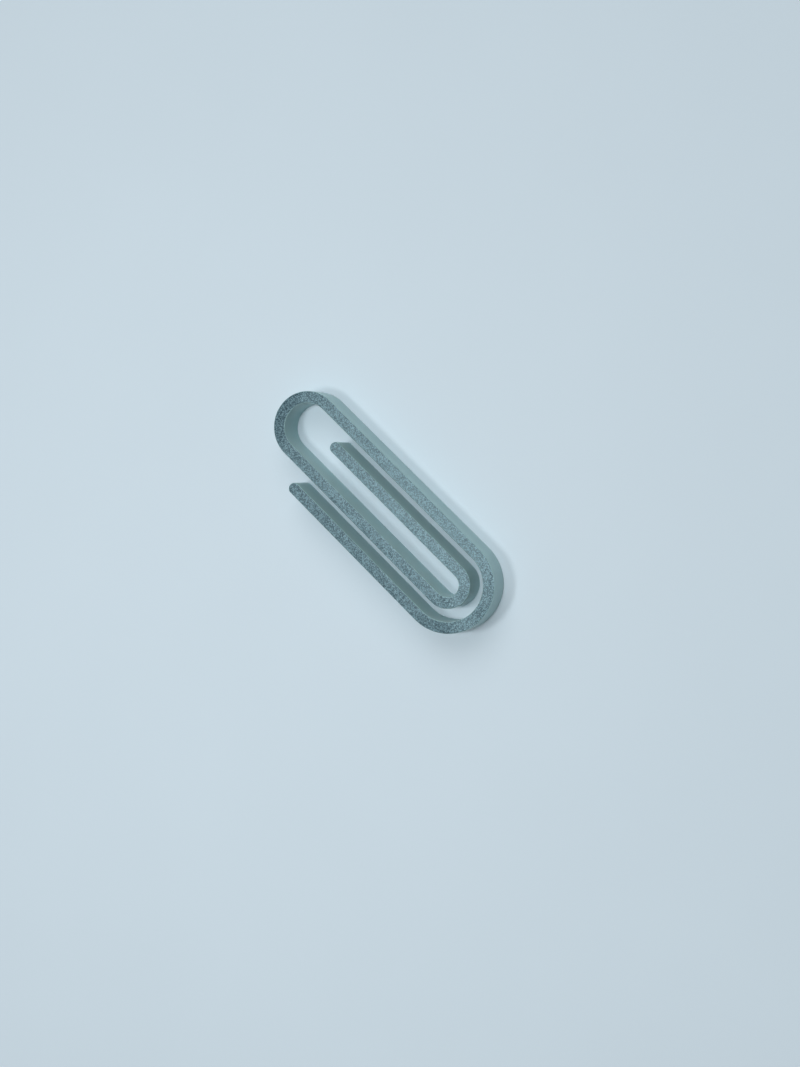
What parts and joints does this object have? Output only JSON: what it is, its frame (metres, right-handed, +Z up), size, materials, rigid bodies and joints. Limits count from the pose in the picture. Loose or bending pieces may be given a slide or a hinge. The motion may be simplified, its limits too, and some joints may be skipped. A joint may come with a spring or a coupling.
{
  "type": "paper clip",
  "caption": "Large paper clip: a tall flat strip of matte plastic bent into nested loops, whose legs spring apart to grip sheets of paper or the folded top of a bag.",
  "frame": {"origin": "middle of the clip's outline, on the surface that it lies on", "axes": "+X along the clip towards the outer bend, +Y across it towards the long back leg, +Z up out of the flat face"},
  "size_m": [0.1018, 0.033, 0.012],
  "materials": {
    "printed_plastic": "matte blue-grey, fine grain on the flat face, smooth fine-layered walls"
  },
  "bodies": {
    "back_leg": {"back_leg": "printed_plastic"},
    "outer_leg": {"outer_leg": "printed_plastic"},
    "inner_leg": {"inner_leg": "printed_plastic"},
    "tongue": {"tongue": "printed_plastic"}
  },
  "joints": [
    {"name": "outer_leg_spread", "type": "hinge", "parent": "back_leg", "child": "outer_leg", "pos_m": [0.0489, 0, 0.006], "axis": [0, 0, 1], "range_deg": [-2.5, 8], "stiffness_Nm_per_rad": 3},
    {"name": "inner_leg_lift", "type": "hinge", "parent": "back_leg", "child": "inner_leg", "pos_m": [-0.0489, 0.0042, 0.006], "axis": [0, -1, 0], "range_deg": [-8, 8], "stiffness_Nm_per_rad": 6},
    {"name": "tongue_spread", "type": "hinge", "parent": "inner_leg", "child": "tongue", "pos_m": [0.0405, 0, 0.006], "axis": [0, 0, 1], "range_deg": [-2.5, 5], "stiffness_Nm_per_rad": 6}
  ]
}
